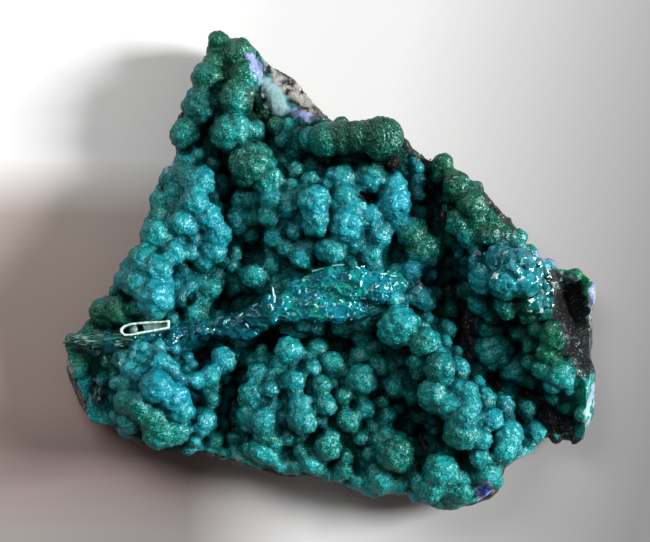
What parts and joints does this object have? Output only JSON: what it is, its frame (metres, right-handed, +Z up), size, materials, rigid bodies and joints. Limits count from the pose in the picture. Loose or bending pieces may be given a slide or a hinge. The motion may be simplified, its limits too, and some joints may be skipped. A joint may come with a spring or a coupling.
{
  "type": "malachite specimen",
  "caption": "Natural hand specimen: a botryoidal malachite crust of round green knobs on a flat slab of dark host rock, with a raised glassy vein across it.",
  "frame": {"origin": "centre of the specimen's bounding box, on the level it rests on", "axes": "+X along its long side, +Y towards its pointed top corner, +Z up out of the crystal crust"},
  "size_m": [0.0894, 0.0802, 0.022],
  "materials": {
    "malachite_crust": "fine sparkling druse over rounded teal-green knobs, deep green in the hollows"
  },
  "bodies": {
    "root": {"malachite_specimen": "malachite_crust"}
  },
  "joints": []
}
